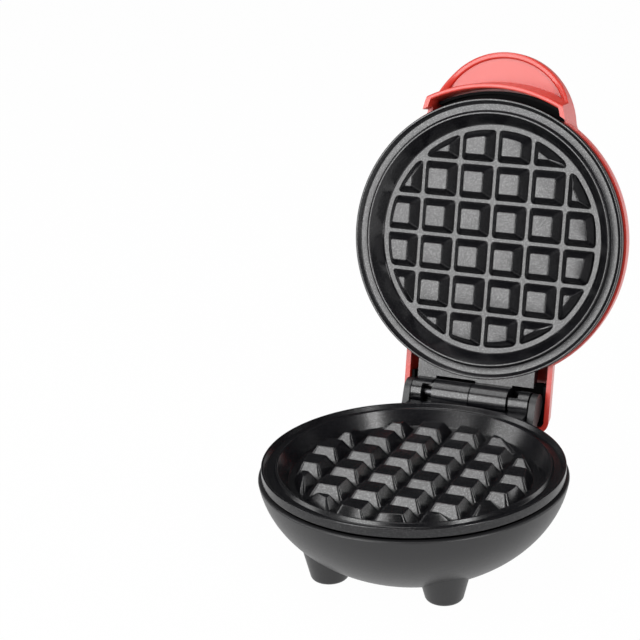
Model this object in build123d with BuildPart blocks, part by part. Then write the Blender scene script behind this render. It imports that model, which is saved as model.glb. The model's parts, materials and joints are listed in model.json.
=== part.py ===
from build123d import *
from math import acos, asin, cos, degrees, hypot, radians, sin, sqrt
import os

# Mini waffle maker, standing open. Millimetres, +Z up, front (the handle) towards -Y.
# Each piece is drawn about the parting plane, z = 0 at the hinge axis, with the lid shut.
# It is then stood on its feet, and the lid's pieces are turned back about the hinge pin.

os.makedirs("parts", exist_ok=True)

# Where the whole thing stands
foot_height = 5.0           # shell floor above the table
open_angle = 102.4          # how far the lid stands back
overrun = 1.0               # how far a cut runs past what it cuts
joint_sink = 0.5            # how far a block is rooted in what carries it

# Plate casting, from its rim inwards and down
plate_radius = 60.85
ring_width = 2.1            # outer ring, its crest and the slope inside it
ring_crest = 0.85
ring_rise = 0.4             # ring's crest above the bead
ring_side = 3.5             # height of the ring's outer side
crest_round = 0.22
gutter_depth = 1.35         # overflow gutter below the bead
gutter_width = 2.85
gutter_slope = 0.8
bead_drop = 1.0             # bead below the parting plane
bead_width = 0.7
wall_run = 4.2              # how far the cooking wall leans in
floor_depth = 6.4           # cooking floor below the bead
wall_foot_round = 0.9
casting_wall = 3.2
flange_land = 4.6           # width of the flat under the ring

# Waffle grid
grid_rows = 6
grid_inset = 1.0            # full grid inside the cooking floor
grid_margin = 2.5           # trimming circle inside the cooking floor
block_gap = 1.7
block_lean = 3.25           # how far each side of a block leans in
block_height = 4.85
block_base_corner = 1.6
block_top_corner = 0.7

# Under the plate
pad_inset = 14.2            # heater circle inside the cooking floor
pad_width = 9.0
pad_height = 2.0
boss_inset = 9.5            # screw circle inside the heater pad
boss_radius = 4.6
boss_length = 6.8
boss_count = 3

# Hinge
barrel_radius = 6.3
barrel_gap = 2.05           # between the ring and the barrels
barrel_seam = 0.5
large_barrel_length = 16.9
barrel_space = 1.0
small_barrel_inset = 0.3
small_barrel_length = 8.7
notch_length = 4.0
notch_width = 8.6
tab_drop = 0.8              # tab face below the flat rim
tab_thickness = 5.0
tab_gap = 1.0               # between a tab and the other plate's barrels
pin_radius = 2.5
pin_fit = 0.05
pin_end_gap = 0.3

# Base shell
bowl_margin = 1.85          # bowl beyond the plate
bowl_curve_depth = 46.5
bowl_rim_gap = 1.2
bowl_floor_drop = 37.6
shell_wall = 2.2
rim_round = 0.7
foot_inset_x = 38.5
foot_inset_y = 32.5
foot_tip_radius = 7.3
foot_root_radius = 11.35
foot_root_drop = 26.0
foot_round = 2.0
pad_rubber_radius = 4.5
pad_rubber_fit = 0.1
pad_rubber_depth = 1.5
pad_proud = 0.4
housing_overhang = 1.4      # housing behind the hinge axis
housing_top_gap = 0.6
housing_back_drop = 15.0
housing_slope_run = 19.6
housing_low_drop = 24.0
housing_round = 4.0
ear_thickness = 2.95
ear_radius = 5.4
ear_root_length = 6.6
tab_side_gap = 0.3
base_boss_radius = 5.0
cord_boss_width = 20.0
cord_boss_proud = 4.0
gland_height = 8.0          # gland above the bowl's floor
gland_hole_radius = 4.1
gland_flange_radius = 5.4
gland_flange_thickness = 1.6
gland_bore_radius = 3.0
gland_collar = 1.2
gland_fit = 0.1

# Screws
screw_radius = 1.9          # clearance holes
screw_shank_radius = 1.55
screw_pilot_radius = 1.6
screw_grip = 5.0
screw_head_radius = 3.5
screw_head_height = 2.4
counterbore_radius = 4.0
counterbore_depth = 7.0
lid_counterbore_radius = 3.8
lid_counterbore_depth = 2.6
recess_span = 3.6
recess_slot = 0.9
recess_depth = 1.3

# Inside, under each plate
element_radius = 3.2
channel_fit = 0.1
element_gap_angle = 36.0
terminal_length = 6.2
terminal_pin_radius = 1.3
terminal_pin_length = 4.0
clamp_thickness = 0.8
clamp_width = 8.0
clamp_foot = 2.4
clamp_side_gap = 0.3
clamp_corner = 1.2
reflector_inset = 3.2
reflector_thickness = 0.8
reflector_lip = 3.0
terminal_hole_radius = 5.0
vent_radius = 6.0
thermostat_radius = 7.5
thermostat_height = 5.2
thermostat_hole_gap = 2.5
thermostat_flange_length = 23.0
thermostat_flange_width = 9.0
thermostat_flange_thickness = 0.9
blade_width = 4.8
blade_thickness = 0.8
blade_length = 6.0
blade_spread = 8.0
fuse_radius = 2.0
fuse_length = 11.0
fuse_pin_radius = 0.6
fuse_pin_length = 5.0
fuse_x = -17.0
fuse_y = -10.0
strap_width = 5.0
strap_thickness = 0.7
strap_foot = 3.0
terminal_block_width = 24.0
terminal_block_depth = 9.0
terminal_block_height = 6.4
terminal_block_y = 27.0
terminal_screw_radius = 1.6
terminal_screw_offset = 1.6
terminal_block_corner = 1.0
terminal_ways = 3
terminal_pitch = 8.0
lead_radius = 1.1

# Lid cover: dome
cover_overhang = 0.85       # cover beyond the plate
cover_gap = 0.5             # cover over the plate's flange
cover_wall = 2.3
lid_band_height = 2.6
lid_band_step = 0.35
dome_run = 25.35
dome_spring = 8.5
dome_rise = 24.1
cap_shoulder = 4.6          # crease outside the start of the dome's curve
cap_thickness = 2.0
cap_fit = 0.15
cap_edge_round = 0.4
cover_boss_radius = 4.8

# Lid cover: handle
handle_radius = 32.5
handle_setback = 13.0       # handle's centre inside the cover's rim
handle_floor = 15.0
handle_rim_height = 2.6
handle_rim_round = 1.3
handle_blend = 9.0          # hollow curve where the handle leaves the dome
handle_wall = 2.1
handle_lip_width = 2.7
handle_lip_drop = 1.2
handle_lip_round = 0.9
skirt_drop = 2.0
skirt_wall = 2.0
skirt_gap = 2.5             # skirt outside the bowl
skirt_flare = 1.2
skirt_edge_round = 0.7
skirt_clear_gap = 1.2
recess_side = 1.5           # recess inside the handle's outline, at its sides
recess_corner = 9.0
scoop_radius = 28.3
scoop_flare = 5.0
scoop_lead = 3.7            # scoop's circle behind the handle's
scoop_reach = 13.1          # scoop's back, from its foot to its head
scoop_head_gap = 0.6
scoop_run_shares = (0.0, 0.16, 0.44, 0.83, 1.0)
scoop_rise_shares = (0.0, 0.36, 0.63, 0.78, 1.0)

# Lid cover: tail over the hinge
tail_side_gap = 1.4         # tail outside the housing
tail_wall = 2.2
tail_narrowing = 5.0
tail_overhang = 12.6        # tail behind the hinge axis
tail_back_draft = 1.2
tail_height = 17.2
tail_length = 41.8
tail_round = 5.0
tail_top_round = 2.0

# Indicator
lens_y = 18.8
lens_radius = 11.8
lens_hole_gap = 0.3
lens_rise = 3.7
lens_edge_rise = 0.4
lens_flange_radius = 13.2
lens_wall = 1.2
lens_flange_thickness = 1.2
bezel_radius = 17.2
bezel_crest_radius = 14.3
bezel_rise = 1.3
lamp_radius = 2.6
lamp_length = 11.0
lamp_fit = 0.1
lamp_pin_radius = 0.4
lamp_pin_length = 3.0
lamp_pin_spread = 2.4
holder_radius = 14.6
holder_thickness = 1.4
holder_hub_radius = 4.2
holder_hub_length = 6.0
holder_vent_radius = 1.6
holder_vent_circle = 7.6
holder_vents = 6

# Dark liners inside the handle's skirt and the tail
liner_gap = 1.0
liner_wall = 1.2
liner_width = 56.0
liner_height = 5.5
liner_flange = 8.5           # how far the front liner's flange reaches in
liner_fit = 0.1

# Sizes that follow from the ones above
axis_height = bowl_floor_drop + foot_height
rim_face = -bead_drop
gutter_face = rim_face - gutter_depth
ring_top = rim_face + ring_rise
ring_foot = ring_top - ring_side
ring_inner = plate_radius - ring_width
gutter_inner = ring_inner - gutter_width
bead_outer = gutter_inner - gutter_slope
cavity_radius = bead_outer - bead_width
floor_radius = cavity_radius - wall_run
floor_face = rim_face - floor_depth
underside = floor_face - casting_wall
grid_pitch = 2 * (floor_radius - grid_inset) / grid_rows
grid_radius = floor_radius - grid_margin
block_base = grid_pitch - block_gap
block_top = block_base - 2 * block_lean
block_slope = block_lean / block_height
pad_radius = floor_radius - pad_inset
pad_face = underside - pad_height
boss_circle = pad_radius - pad_width / 2 - boss_inset
boss_face = underside - boss_length
screw_angles = [-90 + 360 / boss_count * k for k in range(boss_count)]
screw_places = [(boss_circle * cos(radians(a)), boss_circle * sin(radians(a))) for a in screw_angles]
screw_seat = counterbore_depth - bowl_floor_drop

hinge_offset = plate_radius + barrel_gap + barrel_radius
hinge_axis = Axis((0, hinge_offset, 0), (1, 0, 0))
small_barrel_radius = barrel_radius - small_barrel_inset
knuckle_start = barrel_seam / 2
large_barrel_end = knuckle_start + large_barrel_length
small_barrel_start = large_barrel_end + barrel_space
small_barrel_end = small_barrel_start + small_barrel_length
pin_half = small_barrel_end + pin_end_gap
tab_width = 2 * small_barrel_end
tab_face = rim_face - tab_drop
tab_underside = tab_face - tab_thickness
tab_reach = hinge_offset - barrel_radius - tab_gap
tab_root_radius = plate_radius - ring_crest

bowl_radius = plate_radius + bowl_margin
bowl_rim_drop = bowl_rim_gap - ring_foot
bowl_floor_face = shell_wall - bowl_floor_drop
foot_plane = -axis_height
foot_tip = foot_plane + pad_proud
ear_face = pin_half + pin_end_gap
housing_width = 2 * (ear_face + ear_thickness)
housing_back = hinge_offset + housing_overhang
front_foot_x = bowl_radius - foot_inset_x
front_foot_y = foot_inset_y - bowl_radius
rear_foot_x = housing_width / 2 - shell_wall - foot_root_radius
rear_foot_y = housing_back - shell_wall - foot_root_radius
front_feet = [(-front_foot_x, front_foot_y), (front_foot_x, front_foot_y)]
rear_feet = [(-rear_foot_x, rear_foot_y), (rear_foot_x, rear_foot_y)]
foot_places = front_feet + rear_feet
housing_top = tab_underside - housing_top_gap
housing_low_reach = housing_back - housing_slope_run
cord_boss_back = housing_low_reach + cord_boss_proud
gland_drop = bowl_floor_drop - gland_height
reflector_radius = floor_radius - reflector_inset
reflector_face = boss_face
element_foot = pad_face - element_radius
thermostat_hole_radius = thermostat_radius + thermostat_hole_gap

lid_rim_lift = cover_gap - ring_foot
lid_rim_radius = plate_radius + cover_overhang
lid_band_top = lid_rim_lift + lid_band_height
dome_radius = lid_rim_radius - lid_band_step
dome_centre_radius = dome_radius - dome_run
dome_height = dome_spring + dome_rise
cap_radius = dome_centre_radius + cap_shoulder
cap_face = dome_height
cap_seat = dome_height - cap_thickness
deck_face = cap_seat - cover_wall
handle_centre = lid_rim_radius - handle_setback
handle_crest = handle_floor + handle_rim_height
handle_underside = handle_floor - handle_wall
handle_lip_face = handle_underside - handle_lip_drop
crest_dome_radius = dome_centre_radius + dome_run * sqrt(1 - ((handle_crest - dome_spring) / dome_rise) ** 2)
skirt_foot_radius = bowl_radius + skirt_gap + skirt_wall
skirt_head_radius = skirt_foot_radius + skirt_flare
skirt_clear_radius = lid_rim_radius + skirt_clear_gap
recess_width = 2 * (handle_radius - recess_side)
scoop_head_radius = cap_radius + scoop_head_gap
scoop_foot_radius = scoop_head_radius + scoop_reach
tail_foot_width = housing_width + 2 * tail_side_gap + 2 * tail_wall
tail_head_width = tail_foot_width - tail_narrowing
tail_back = hinge_offset + tail_overhang
tail_front = tail_back - tail_length
lens_hole_radius = lens_radius + lens_hole_gap
lens_axis = Plane(origin=(0, lens_y, 0))
liner_radius = skirt_foot_radius - skirt_wall - liner_gap
liner_foot = handle_underside - liner_height
tail_liner_top = tail_height - tail_wall - liner_fit
tail_liner_inset = tail_wall + liner_fit
tail_liner_front = plate_radius + cover_gap

# Middle of the open object's depth, where its origin stands
bowl_front = bowl_radius * sqrt(1 - (bowl_rim_drop / bowl_curve_depth) ** 2)
lid_rear = (
    hinge_offset
    - (hinge_offset + cap_radius - cap_fit) * cos(radians(open_angle))
    + cap_face * sin(radians(open_angle))
)
depth_middle = (lid_rear - bowl_front) / 2


def level(height):
    """A drawing plane parallel to the parting plane."""
    return Plane.XY.offset(height)


def across(x):
    """A drawing plane square to the hinge pin, with +Y to its right and +Z up."""
    return Plane(origin=(x, 0, 0), x_dir=(0, 1, 0), z_dir=(1, 0, 0))


def save_base(piece, name):
    """Stands a base piece on the table and writes it."""
    with BuildPart() as placed:
        add(piece.part.moved(Location((0, -depth_middle, axis_height))))
    placed.part.label = name
    export_step(placed.part, f"parts/{name}.step")
    return placed


def save_lid(piece, name):
    """Opens a lid piece about the hinge, stands it on the table and writes it."""
    with BuildPart() as placed:
        add(piece.part.rotate(hinge_axis, -open_angle).moved(Location((0, -depth_middle, axis_height))))
    placed.part.label = name
    export_step(placed.part, f"parts/{name}.step")
    return placed


def flipped(piece):
    """The same piece turned over for the lid, about the front-to-back axis."""
    with BuildPart() as turned:
        add(piece.part.rotate(Axis.Y, 180))
    return turned


# Plate casting: dish, waffle blocks, screw bosses, tab and knuckles

def waffle_block():
    """A tapered block over the plate's middle, its upright corners rounded."""
    sunk_base = block_base + 2 * block_slope * joint_sink
    with BuildPart() as block:
        with BuildSketch(level(floor_face - joint_sink)):
            RectangleRounded(sunk_base, sunk_base, block_base_corner)
        with BuildSketch(level(floor_face + block_height)):
            RectangleRounded(block_top, block_top, block_top_corner)
        loft()
    return block


def clipped_block(place):
    """A block cut back to the grid's circle, the edges of the cut rounded as its corners are."""
    low = floor_face - joint_sink
    high = floor_face + block_height
    with BuildPart() as block:
        with Locations(place):
            add(waffle_block().part)
        with Locations((0, 0, (low + high) / 2)):
            Cone(
                grid_radius + block_slope * joint_sink,
                grid_radius - block_slope * block_height,
                high - low,
                mode=Mode.INTERSECT,
            )
        cut = [f for f in block.faces() if f.geom_type == GeomType.CONE and f.center().Z < high]
        wall = max(cut, key=lambda f: f.area)
        upright = [e for e in wall.edges() if e.bounding_box().size.Z > block_height / 2]
        fillet(upright, block_top_corner)
    return block


def block_reach(place):
    """Distance from the plate's axis to the far corner of a block's foot."""
    return hypot(abs(place[0]) + block_base / 2, abs(place[1]) + block_base / 2)


def waffle_field():
    """Every block of the square grid but its four corners."""
    half = (grid_rows - 1) / 2
    steps = [(k - half) * grid_pitch for k in range(grid_rows)]
    corner = hypot(steps[-1], steps[-1])
    places = [(x, y) for x in steps for y in steps if hypot(x, y) < corner - joint_sink]
    whole = [place for place in places if block_reach(place) <= grid_radius]
    block = waffle_block()
    with BuildPart() as field:
        with Locations(*whole):
            add(block.part)
        for place in places:
            if place not in whole:
                add(clipped_block(place).part)
    return field


def knuckle(start, end, radius):
    """A barrel on the hinge axis with the web that joins it to the tab."""
    with BuildPart() as piece:
        with BuildSketch(across(start)):
            with Locations((hinge_offset, 0)):
                Circle(radius)
        extrude(amount=end - start)
        with BuildSketch(across(start)):
            with BuildLine():
                Polyline(
                    (tab_reach - joint_sink, tab_face),
                    (hinge_offset, tab_face),
                    (hinge_offset, -radius),
                    (tab_reach - joint_sink, -radius),
                    close=True,
                )
            make_face()
        extrude(amount=end - start)
    return piece


def plate_casting():
    field = waffle_field()
    large = knuckle(-large_barrel_end, -knuckle_start, barrel_radius)
    small = knuckle(small_barrel_start, small_barrel_end, small_barrel_radius)
    with BuildPart() as casting:
        with BuildSketch(Plane.XZ) as section:
            with BuildLine():
                Polyline(
                    (0, floor_face),
                    (floor_radius, floor_face),
                    (cavity_radius, rim_face),
                    (bead_outer, rim_face),
                    (gutter_inner, gutter_face),
                    (ring_inner, gutter_face),
                    (plate_radius - ring_crest, ring_top),
                    (plate_radius, ring_top),
                    (plate_radius, ring_foot),
                    (plate_radius - flange_land, ring_foot),
                    (floor_radius + casting_wall, underside),
                    (0, underside),
                    close=True,
                )
            make_face()
            foot = section.vertices().sort_by_distance((floor_radius, floor_face, 0))[0]
            fillet(foot, wall_foot_round)
            fillet([v for v in section.vertices() if v.Y > rim_face - crest_round], crest_round)
        revolve(axis=Axis.Z)
        add(field.part)
        with BuildSketch(level(underside)):
            Circle(pad_radius + pad_width / 2)
            Circle(pad_radius - pad_width / 2, mode=Mode.SUBTRACT)
        extrude(amount=-pad_height)
        with BuildSketch(level(underside)):
            with Locations(*screw_places):
                Circle(boss_radius)
        extrude(amount=-boss_length)
        with BuildSketch(level(tab_underside)):
            with Locations((0, (tab_root_radius + tab_reach) / 2 - grid_pitch / 2)):
                Rectangle(tab_width, tab_reach - tab_root_radius + grid_pitch)
            Circle(tab_root_radius, mode=Mode.SUBTRACT)
        extrude(amount=tab_thickness)
        add(large.part)
        add(small.part)
        with BuildSketch(Plane.XZ):
            with Locations((pad_radius, pad_face)):
                Circle(element_radius + channel_fit)
        revolve(axis=Axis.Z, mode=Mode.SUBTRACT)
        with BuildSketch(level(boss_face)):
            with Locations(*screw_places):
                Circle(screw_pilot_radius)
        extrude(amount=screw_grip + overrun, mode=Mode.SUBTRACT)
        with BuildSketch(across(-large_barrel_end - overrun)):
            with Locations((hinge_offset, 0)):
                Circle(pin_radius + pin_fit)
        extrude(amount=large_barrel_end + small_barrel_end + 2 * overrun, mode=Mode.SUBTRACT)
        with BuildSketch(across(small_barrel_start - overrun)):
            with Locations((hinge_offset, small_barrel_radius / 2 + overrun / 2)):
                Rectangle(notch_width, small_barrel_radius + overrun)
        extrude(amount=notch_length + overrun, mode=Mode.SUBTRACT)
    return casting


casting = plate_casting()
save_base(casting, "lower_plate")
save_lid(flipped(casting), "upper_plate")


# Hinge pin, held between the two ears of the base shell

with BuildPart() as hinge_pin:
    with BuildSketch(across(-pin_half)):
        with Locations((hinge_offset, 0)):
            Circle(pin_radius)
    extrude(amount=2 * pin_half)
save_base(hinge_pin, "hinge_pin")


# Base shell: bowl on its front feet, rear housing on its own, and the ears of the hinge

def bowl_arc(radius, depth, top, floor):
    """The bowl's elliptical side between two levels below the parting plane."""
    start = -degrees(asin(top / depth))
    sweep = -degrees(asin(floor / depth)) - start
    return EllipticalCenterArc((0, 0), radius, depth, start_angle=start, arc_size=sweep)


def bowl_solid(radius, depth, top, floor):
    with BuildPart() as bowl:
        with BuildSketch(Plane.XZ):
            with BuildLine():
                side = bowl_arc(radius, depth, top, floor)
                Polyline(side @ 1, (0, -floor), (0, -top), side @ 0)
            make_face()
        revolve(axis=Axis.Z)
    return bowl


def housing_solid(half, back, top, low_reach, low_level, back_level):
    """A box behind the bowl, its lower rear edge cut away to a slope where asked."""
    outline = [(hinge_offset / 2, top), (back, top), (back, back_level)]
    if low_reach < back:
        outline.append((low_reach, low_level))
    outline.append((hinge_offset / 2, low_level))
    with BuildPart() as housing:
        with BuildSketch(across(-half)):
            with BuildLine():
                Polyline(*outline, close=True)
            make_face()
        extrude(amount=2 * half)
    return housing


def foot_solid(root_drop):
    """A round foot, widening from its tip to its root."""
    with BuildPart() as foot:
        with Locations((0, 0, (foot_tip - root_drop) / 2)):
            Cone(foot_tip_radius, foot_root_radius, -root_drop - foot_tip)
        fillet(foot.edges().sort_by(Axis.Z)[0], foot_round)
    return foot


def base_shell_piece():
    outer = bowl_solid(bowl_radius, bowl_curve_depth, bowl_rim_drop, bowl_floor_drop)
    inner = bowl_solid(
        bowl_radius - shell_wall, bowl_curve_depth - shell_wall,
        bowl_rim_drop - overrun, bowl_floor_drop - shell_wall,
    )
    housing = housing_solid(
        housing_width / 2, housing_back, housing_top,
        housing_low_reach, -housing_low_drop, -housing_back_drop,
    )
    hollow = housing_solid(
        housing_width / 2 - shell_wall, housing_back - shell_wall, housing_top + overrun,
        housing_low_reach - shell_wall, -housing_low_drop + shell_wall, -housing_back_drop + shell_wall / 2,
    )
    cord_boss = housing_solid(
        cord_boss_width / 2, cord_boss_back, -housing_low_drop / 2,
        cord_boss_back, -bowl_floor_drop, -bowl_floor_drop,
    )
    cord_hollow = housing_solid(
        cord_boss_width / 2 - shell_wall, cord_boss_back - shell_wall, -housing_low_drop / 2,
        cord_boss_back - shell_wall, bowl_floor_face, bowl_floor_face,
    )
    front_foot = foot_solid(foot_root_drop)
    rear_foot = foot_solid(housing_back_drop)
    foot_floor = foot_tip + pad_rubber_depth + shell_wall
    with BuildPart() as shell:
        add(outer.part)
        fillet(shell.edges().filter_by(GeomType.CIRCLE).sort_by(Axis.Z)[-1], rim_round)
        with Locations(*front_feet):
            add(front_foot.part)
        with Locations(*rear_feet):
            add(rear_foot.part)
        add(housing.part)
        add(cord_boss.part)
        corners = shell.edges().filter_by(Axis.Z).filter_by(lambda e: e.center().Y > hinge_offset)
        fillet(corners, housing_round)
        add(inner.part, mode=Mode.SUBTRACT)
        add(hollow.part, mode=Mode.SUBTRACT)
        add(cord_hollow.part, mode=Mode.SUBTRACT)
        with BuildSketch(level(foot_floor)):
            with Locations(*rear_feet):
                Circle(foot_tip_radius - shell_wall)
        extrude(amount=-housing_back_drop - foot_floor, mode=Mode.SUBTRACT)
        for side in (-1, 1):
            start = side * ear_face if side > 0 else -ear_face - ear_thickness
            with BuildSketch(across(start)):
                with Locations((hinge_offset, 0)):
                    Circle(ear_radius)
                with Locations((housing_back - housing_round - ear_root_length / 2, housing_top - joint_sink)):
                    Rectangle(ear_root_length, 2 * joint_sink)
                make_hull()
            extrude(amount=ear_thickness)
        with BuildSketch(level(-bowl_floor_drop)):
            with Locations(*screw_places):
                Circle(base_boss_radius)
        extrude(amount=bowl_floor_drop + reflector_face - reflector_thickness)
        with BuildSketch(level(-bowl_floor_drop)):
            with Locations(*screw_places):
                Circle(screw_radius)
        extrude(amount=bowl_floor_drop + reflector_face, mode=Mode.SUBTRACT)
        with BuildSketch(level(-bowl_floor_drop)):
            with Locations(*screw_places):
                Circle(counterbore_radius)
        extrude(amount=counterbore_depth, mode=Mode.SUBTRACT)
        with BuildSketch(level(foot_tip)):
            with Locations(*foot_places):
                Circle(pad_rubber_radius)
        extrude(amount=pad_rubber_depth, mode=Mode.SUBTRACT)
        with BuildSketch(level(housing_top)):
            with Locations((0, hinge_offset)):
                Rectangle(tab_width + 2 * tab_side_gap, hinge_offset)
        extrude(amount=-housing_top, mode=Mode.SUBTRACT)
        with BuildSketch(Plane.XZ.offset(-hinge_offset)):
            with Locations((0, -gland_drop)):
                Circle(gland_hole_radius)
        extrude(amount=hinge_offset / 2, mode=Mode.SUBTRACT)
    return shell


base_shell = base_shell_piece()
save_base(base_shell, "base_shell")


# Pieces of the base that fasten it or stand it up

def screw(seat, shank):
    """A pan-head screw pointing up, its head under the seat, with a cross recess."""
    with BuildPart() as piece:
        with BuildSketch(level(seat - screw_head_height)):
            Circle(screw_head_radius)
        extrude(amount=screw_head_height)
        fillet(piece.edges().filter_by(GeomType.CIRCLE).sort_by(Axis.Z)[0], screw_head_height / 3)
        with BuildSketch(level(seat)):
            Circle(screw_shank_radius)
        extrude(amount=shank)
        with BuildSketch(level(seat - screw_head_height)):
            Rectangle(recess_span, recess_slot)
            Rectangle(recess_slot, recess_span)
        extrude(amount=recess_depth, mode=Mode.SUBTRACT)
    return piece


def screw_set(seat, shank):
    one = screw(seat, shank)
    with BuildPart() as pieces:
        with Locations(*screw_places):
            add(one.part)
    return pieces


base_screws = screw_set(screw_seat, boss_face + screw_grip - screw_seat)
save_base(base_screws, "base_screws")

with BuildPart() as foot_pads:
    with BuildSketch(level(foot_plane)):
        with Locations(*foot_places):
            Circle(pad_rubber_radius - pad_rubber_fit)
    extrude(amount=pad_proud + pad_rubber_depth)
    chamfer(foot_pads.edges().group_by(Axis.Z)[0], pad_proud / 2)
save_base(foot_pads, "foot_pads")

gland_plane = Plane(origin=(0, cord_boss_back + gland_flange_thickness, -gland_drop), x_dir=(1, 0, 0), z_dir=(0, 1, 0))
with BuildPart() as cord_gland:
    with BuildSketch(gland_plane):
        Circle(gland_flange_radius)
    extrude(amount=-gland_flange_thickness)
    fillet(cord_gland.edges().sort_by(Axis.Y)[-1], gland_flange_thickness / 2)
    with BuildSketch(gland_plane.offset(-gland_flange_thickness)):
        Circle(gland_hole_radius - gland_fit)
    extrude(amount=-shell_wall)
    with BuildSketch(gland_plane.offset(-gland_flange_thickness - shell_wall)):
        Circle(gland_flange_radius - gland_fit)
    extrude(amount=-gland_collar)
    with BuildSketch(gland_plane.offset(overrun)):
        Circle(gland_bore_radius)
    extrude(amount=-gland_flange_thickness - shell_wall - gland_collar - 2 * overrun, mode=Mode.SUBTRACT)
save_base(cord_gland, "cord_gland")


# Heating pieces: drawn for the base plate, turned over for the lid

def ring_plane(angle):
    """An upright drawing plane through the plate's axis at an angle from +X."""
    a = radians(angle)
    return Plane(origin=(0, 0, 0), x_dir=(cos(a), sin(a), 0), z_dir=(sin(a), -cos(a), 0))


element_start = 90 + element_gap_angle / 2
element_ends = [
    (pad_radius * cos(radians(90 + side * element_gap_angle / 2)), pad_radius * sin(radians(90 + side * element_gap_angle / 2)))
    for side in (-1, 1)
]

with BuildPart() as element:
    with BuildSketch(ring_plane(element_start)):
        with Locations((pad_radius, pad_face)):
            Circle(element_radius)
    revolve(axis=Axis.Z, revolution_arc=360 - element_gap_angle)
    with Locations(*[(x, y, pad_face) for x, y in element_ends]):
        Sphere(element_radius)
    with BuildSketch(level(pad_face)):
        with Locations(*element_ends):
            Circle(element_radius)
    extrude(amount=-terminal_length)
    with BuildSketch(level(pad_face - terminal_length)):
        with Locations(*element_ends):
            Circle(terminal_pin_radius)
    extrude(amount=-terminal_pin_length)
save_base(element, "lower_element")
save_lid(flipped(element), "upper_element")

clamp_inner = pad_radius - pad_width / 2 - clamp_side_gap - clamp_thickness
clamp_outer = pad_radius + pad_width / 2 + clamp_side_gap + clamp_thickness
clamp_drop = underside - element_foot + clamp_thickness
with BuildPart() as clamps:
    for angle in screw_angles:
        with BuildSketch(ring_plane(angle)) as strap:
            with Locations(((clamp_inner + clamp_outer) / 2, underside - clamp_drop / 2)):
                RectangleRounded(clamp_outer - clamp_inner, clamp_drop, clamp_corner)
            with Locations(((clamp_inner + clamp_outer) / 2, underside - clamp_thickness / 2)):
                Rectangle(clamp_outer - clamp_inner + 2 * clamp_foot, clamp_thickness)
            with Locations(((clamp_inner + clamp_outer) / 2, underside - clamp_drop / 2 + clamp_thickness / 2)):
                Rectangle(
                    clamp_outer - clamp_inner - 2 * clamp_thickness,
                    clamp_drop - clamp_thickness,
                    mode=Mode.SUBTRACT,
                )
        extrude(amount=clamp_width / 2, both=True)
save_base(clamps, "lower_element_clamps")
save_lid(flipped(clamps), "upper_element_clamps")


def reflector(centre_hole):
    """Pressed tray between the casting's bosses and the shell's or the cover's."""
    rim = reflector_radius - reflector_thickness
    foot = reflector_face - reflector_thickness
    with BuildPart() as tray:
        with BuildSketch(Plane.XZ) as section:
            with BuildLine():
                Polyline(
                    (0, reflector_face),
                    (rim, reflector_face),
                    (rim, reflector_face + reflector_lip),
                    (reflector_radius, reflector_face + reflector_lip),
                    (reflector_radius, foot),
                    (0, foot),
                    close=True,
                )
            make_face()
        revolve(axis=Axis.Z)
        with BuildSketch(level(foot)):
            with Locations(*screw_places):
                Circle(screw_radius)
            with Locations(*element_ends):
                Circle(terminal_hole_radius)
            Circle(centre_hole)
        extrude(amount=reflector_thickness, mode=Mode.SUBTRACT)
    return tray


save_base(reflector(thermostat_hole_radius), "lower_reflector")
save_lid(flipped(reflector(vent_radius)), "upper_reflector")

with BuildPart() as thermostat:
    with BuildSketch(level(underside)):
        SlotOverall(thermostat_flange_length, thermostat_flange_width)
    extrude(amount=-thermostat_flange_thickness)
    with BuildSketch(level(underside)):
        Circle(thermostat_radius)
    extrude(amount=-thermostat_flange_thickness - thermostat_height)
    fillet(thermostat.edges().sort_by(Axis.Z)[0], thermostat_flange_thickness)
    with BuildSketch(level(underside - thermostat_flange_thickness - thermostat_height)):
        with Locations((0, -blade_spread / 2), (0, blade_spread / 2)):
            Rectangle(blade_width, blade_thickness)
    extrude(amount=-blade_length)
save_base(thermostat, "thermostat")

fuse_level = underside - fuse_radius
with BuildPart() as thermal_fuse:
    with BuildSketch(Plane.XZ.offset(-fuse_y - fuse_length / 2)):
        with Locations((fuse_x, fuse_level)):
            Circle(fuse_radius)
    extrude(amount=fuse_length)
    with BuildSketch(Plane.XZ.offset(-fuse_y - fuse_length / 2 - fuse_pin_length)):
        with Locations((fuse_x, fuse_level)):
            Circle(fuse_pin_radius)
    extrude(amount=fuse_length + 2 * fuse_pin_length)
save_base(thermal_fuse, "thermal_fuse")

strap_outer = fuse_radius + strap_thickness
with BuildPart() as fuse_clip:
    with BuildSketch(Plane.XZ.offset(-fuse_y - strap_width / 2)):
        with Locations((fuse_x, fuse_level)):
            Circle(strap_outer)
        with Locations((fuse_x, (fuse_level + underside) / 2)):
            Rectangle(2 * strap_outer, fuse_radius)
        with Locations((fuse_x, underside - strap_thickness / 2)):
            Rectangle(2 * strap_outer + 2 * strap_foot, strap_thickness)
        with Locations((fuse_x, fuse_level)):
            Circle(fuse_radius, mode=Mode.SUBTRACT)
        with Locations((fuse_x, (fuse_level + underside) / 2)):
            Rectangle(2 * fuse_radius, fuse_radius, mode=Mode.SUBTRACT)
        with Locations((fuse_x, underside + strap_outer / 2)):
            Rectangle(2 * strap_outer, strap_outer, mode=Mode.SUBTRACT)
    extrude(amount=strap_width)
save_base(fuse_clip, "fuse_clip")

terminal_top = bowl_floor_face + terminal_block_height
terminal_steps = [(k - (terminal_ways - 1) / 2) * terminal_pitch for k in range(terminal_ways)]
with BuildPart() as terminal_block:
    with BuildSketch(level(bowl_floor_face)):
        with Locations((0, terminal_block_y)):
            RectangleRounded(terminal_block_width, terminal_block_depth, terminal_block_corner)
    extrude(amount=terminal_block_height)
    with BuildSketch(level(terminal_top)):
        with Locations(*[(x, terminal_block_y - terminal_screw_offset) for x in terminal_steps]):
            Circle(terminal_screw_radius)
    extrude(amount=-terminal_block_height / 2, mode=Mode.SUBTRACT)
save_base(terminal_block, "terminal_block")


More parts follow.
